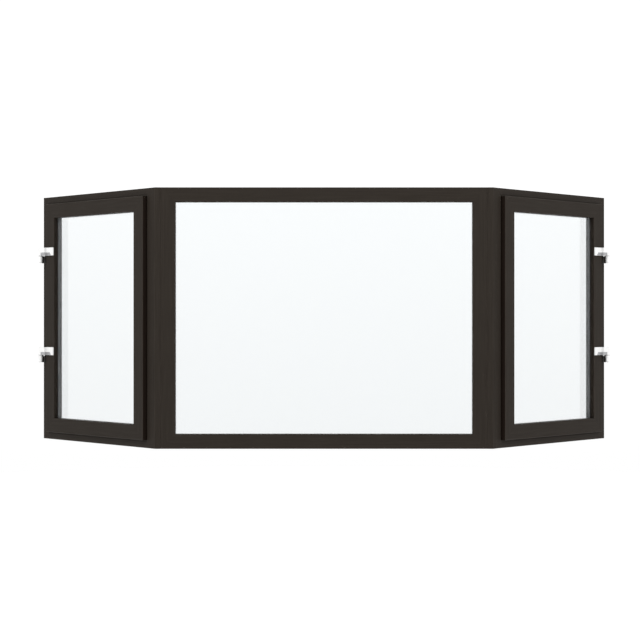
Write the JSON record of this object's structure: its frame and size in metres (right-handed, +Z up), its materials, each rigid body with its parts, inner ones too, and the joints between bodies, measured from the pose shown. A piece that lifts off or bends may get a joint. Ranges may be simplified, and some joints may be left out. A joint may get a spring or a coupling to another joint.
{
  "type": "bay window",
  "caption": "Angled bay window with a wide fixed front light and an outward-opening casement in each side light, in dark brown frames with white hinges.",
  "frame": {"origin": "centre of the overall box in plan, on the plane that the sill stands on", "axes": "+X runs right along the front light as seen from outdoors, +Y runs from outdoors into the room, +Z up"},
  "size_m": [2.9574, 0.6948, 1.25],
  "materials": {
    "profile": "fine-grained dark brown foil on plastic profile",
    "glass": "clear float glass in a sealed double unit",
    "seal": "matte black seal",
    "spacer": "satin bar with a row of small perforations",
    "hardware": "white powder coat",
    "hinge_block": "dark moulded block"
  },
  "bodies": {
    "root": {"front_head": "profile", "front_sill": "profile", "front_left_jamb": "profile", "front_right_jamb": "profile", "front_glass": "glass", "front_spacer": "spacer", "front_beads": "profile", "front_seals": "seal", "left_post": "profile", "right_post": "profile", "left_corner_trim": "profile", "right_corner_trim": "profile", "left_frame_head": "profile", "left_frame_sill": "profile", "left_post_jamb": "profile", "left_wall_jamb": "profile", "left_sash_top_rail": "profile", "left_sash_bottom_rail": "profile", "left_sash_closing_stile": "profile", "left_sash_hinge_stile": "profile", "left_glass": "glass", "left_spacer": "spacer", "left_beads": "profile", "left_seals": "seal", "left_hinge_leaves": "hardware", "left_hinge_blocks": "hinge_block", "left_hinge_knuckles": "hardware", "left_handle": "hardware", "right_frame_head": "profile", "right_frame_sill": "profile", "right_post_jamb": "profile", "right_wall_jamb": "profile", "right_sash_top_rail": "profile", "right_sash_bottom_rail": "profile", "right_sash_closing_stile": "profile", "right_sash_hinge_stile": "profile", "right_glass": "glass", "right_spacer": "spacer", "right_beads": "profile", "right_seals": "seal", "right_hinge_leaves": "hardware", "right_hinge_blocks": "hinge_block", "right_hinge_knuckles": "hardware", "right_handle": "hardware"}
  },
  "joints": []
}
